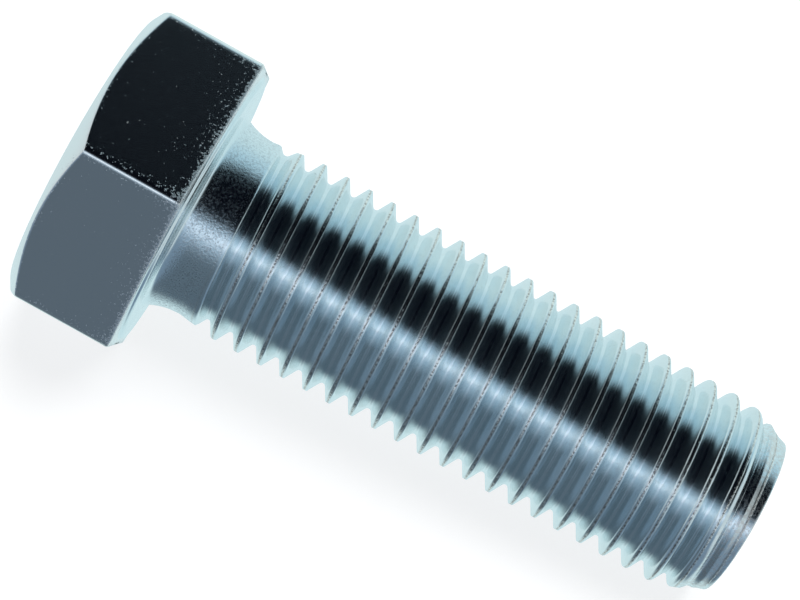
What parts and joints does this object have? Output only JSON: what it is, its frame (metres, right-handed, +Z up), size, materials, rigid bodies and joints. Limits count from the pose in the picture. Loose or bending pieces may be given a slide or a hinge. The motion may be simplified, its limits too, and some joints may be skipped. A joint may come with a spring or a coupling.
{
  "type": "hex bolt",
  "caption": "Zinc-plated hex-head bolt, threaded from just under the head to a chamfered point.",
  "frame": {"origin": "centre of the bearing face under the head, on the bolt's axis", "axes": "+X along the thread, from the head to the tip; +Z up, with the bolt on its side and two hexagon flats level"},
  "size_m": [0.0723, 0.0344, 0.03],
  "materials": {
    "zinc_plated_steel": "bright blue-white zinc plating over forged and rolled steel"
  },
  "bodies": {
    "root": {"hex_bolt": "zinc_plated_steel"}
  },
  "joints": []
}
